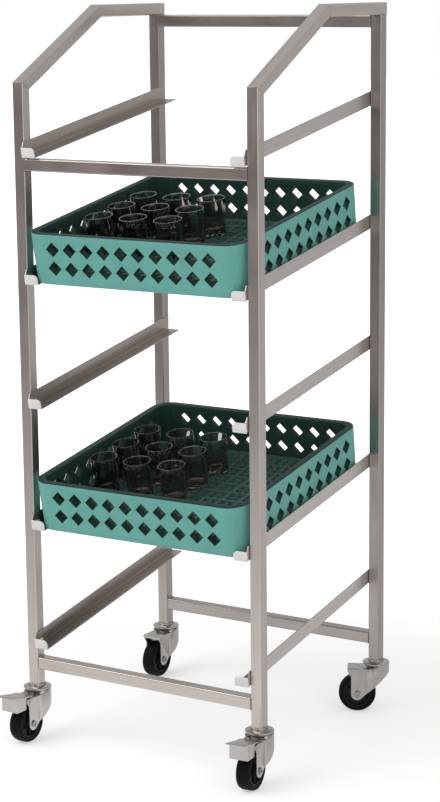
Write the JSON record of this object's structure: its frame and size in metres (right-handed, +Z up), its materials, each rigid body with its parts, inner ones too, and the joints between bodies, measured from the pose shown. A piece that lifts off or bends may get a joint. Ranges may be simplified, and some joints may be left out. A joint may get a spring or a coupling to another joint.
{
  "type": "glass rack dolly",
  "caption": "Wheeled stainless trolley with sloping angle runners that hold dishwasher racks of tumblers; swivel castors, front pair with brake pedals.",
  "frame": {"origin": "on the floor, under the centre of the dolly's bounding box", "axes": "+X to the right seen from the front, +Y to the rear, where the racks slide out, +Z up"},
  "size_m": [0.598, 0.6352, 1.5075],
  "materials": {
    "frame_steel": "satin ground stainless tube",
    "runner_steel": "satin folded stainless sheet",
    "stop_plastic": "white moulded plastic",
    "castor_steel": "bright zinc plated pressing",
    "bolt_steel": "bright plated bolt",
    "hub_plastic": "dark moulded plastic",
    "tyre_rubber": "black rubber",
    "rack_plastic": "satin moulded teal plastic",
    "glass": "clear glass"
  },
  "bodies": {
    "frame": {"left_front_upright": "frame_steel", "left_slope_tube": "frame_steel", "left_top_rail": "frame_steel", "left_rear_upright": "frame_steel", "right_front_upright": "frame_steel", "right_slope_tube": "frame_steel", "right_top_rail": "frame_steel", "right_rear_upright": "frame_steel", "front_upper_bar": "frame_steel", "front_lower_bar": "frame_steel", "rear_top_bar": "frame_steel", "rear_lower_bar": "frame_steel", "left_runner_1": "runner_steel", "left_runner_2": "runner_steel", "left_runner_3": "runner_steel", "left_runner_4": "runner_steel", "left_runner_5": "runner_steel", "right_runner_1": "runner_steel", "right_runner_2": "runner_steel", "right_runner_3": "runner_steel", "right_runner_4": "runner_steel", "right_runner_5": "runner_steel", "left_stop_1": "stop_plastic", "left_stop_2": "stop_plastic", "left_stop_3": "stop_plastic", "left_stop_4": "stop_plastic", "left_stop_5": "stop_plastic", "right_stop_1": "stop_plastic", "right_stop_2": "stop_plastic", "right_stop_3": "stop_plastic", "right_stop_4": "stop_plastic", "right_stop_5": "stop_plastic", "castor_lf_stem": "castor_steel", "castor_rf_stem": "castor_steel", "castor_lr_stem": "castor_steel", "castor_rr_stem": "castor_steel"},
    "castor_lf": {"castor_lf_fork": "castor_steel", "castor_lf_axle": "bolt_steel"},
    "wheel_lf": {"castor_lf_hub": "hub_plastic", "castor_lf_tyre": "tyre_rubber"},
    "castor_rf": {"castor_rf_fork": "castor_steel", "castor_rf_axle": "bolt_steel"},
    "wheel_rf": {"castor_rf_hub": "hub_plastic", "castor_rf_tyre": "tyre_rubber"},
    "castor_lr": {"castor_lr_fork": "castor_steel", "castor_lr_axle": "bolt_steel"},
    "wheel_lr": {"castor_lr_hub": "hub_plastic", "castor_lr_tyre": "tyre_rubber"},
    "castor_rr": {"castor_rr_fork": "castor_steel", "castor_rr_axle": "bolt_steel"},
    "wheel_rr": {"castor_rr_hub": "hub_plastic", "castor_rr_tyre": "tyre_rubber"},
    "pedal_lf": {"brake_pedal_lf": "castor_steel"},
    "pedal_rf": {"brake_pedal_rf": "castor_steel"},
    "upper_rack": {"upper_rack": "rack_plastic", "upper_glasses": "glass"},
    "lower_rack": {"lower_rack": "rack_plastic", "lower_glasses": "glass"}
  },
  "joints": [
    {"name": "castor_lf_swivel", "type": "hinge", "parent": "frame", "child": "castor_lf", "pos_m": [-0.27, -0.20638, 0.1], "axis": [0, 0, 1], "continuous": true},
    {"name": "wheel_lf_spin", "type": "hinge", "parent": "castor_lf", "child": "wheel_lf", "pos_m": [-0.2714, -0.24635, 0.04], "axis": [0.9994, -0.0349, 0], "continuous": true},
    {"name": "castor_rf_swivel", "type": "hinge", "parent": "frame", "child": "castor_rf", "pos_m": [0.27, -0.20638, 0.1], "axis": [0, 0, 1], "continuous": true},
    {"name": "wheel_rf_spin", "type": "hinge", "parent": "castor_rf", "child": "wheel_rf", "pos_m": [0.27314, -0.24625, 0.04], "axis": [0.9969, 0.0785, 0], "continuous": true},
    {"name": "castor_lr_swivel", "type": "hinge", "parent": "frame", "child": "castor_lr", "pos_m": [-0.27, 0.28863, 0.1], "axis": [0, 0, 1], "continuous": true},
    {"name": "wheel_lr_spin", "type": "hinge", "parent": "castor_lr", "child": "wheel_lr", "pos_m": [-0.27, 0.24863, 0.04], "axis": [1, 0, 0], "continuous": true},
    {"name": "castor_rr_swivel", "type": "hinge", "parent": "frame", "child": "castor_rr", "pos_m": [0.27, 0.28863, 0.1], "axis": [0, 0, 1], "continuous": true},
    {"name": "wheel_rr_spin", "type": "hinge", "parent": "castor_rr", "child": "wheel_rr", "pos_m": [0.23436, 0.27047, 0.04], "axis": [0.454, -0.891, 0], "continuous": true},
    {"name": "pedal_lf_press", "type": "hinge", "parent": "castor_lf", "child": "pedal_lf", "pos_m": [-0.27181, -0.25834, 0.0905], "axis": [0.9994, -0.0349, 0], "range_deg": [0, 11]},
    {"name": "pedal_rf_press", "type": "hinge", "parent": "castor_rf", "child": "pedal_rf", "pos_m": [0.27408, -0.25821, 0.0905], "axis": [0.9969, 0.0785, 0], "range_deg": [0, 11]},
    {"name": "upper_rack_slide", "type": "slide", "parent": "frame", "child": "upper_rack", "axis": [0, 0.986, 0.1668], "range_m": [0, 0.4]},
    {"name": "lower_rack_slide", "type": "slide", "parent": "frame", "child": "lower_rack", "axis": [0, 0.986, 0.1668], "range_m": [0, 0.4]}
  ]
}
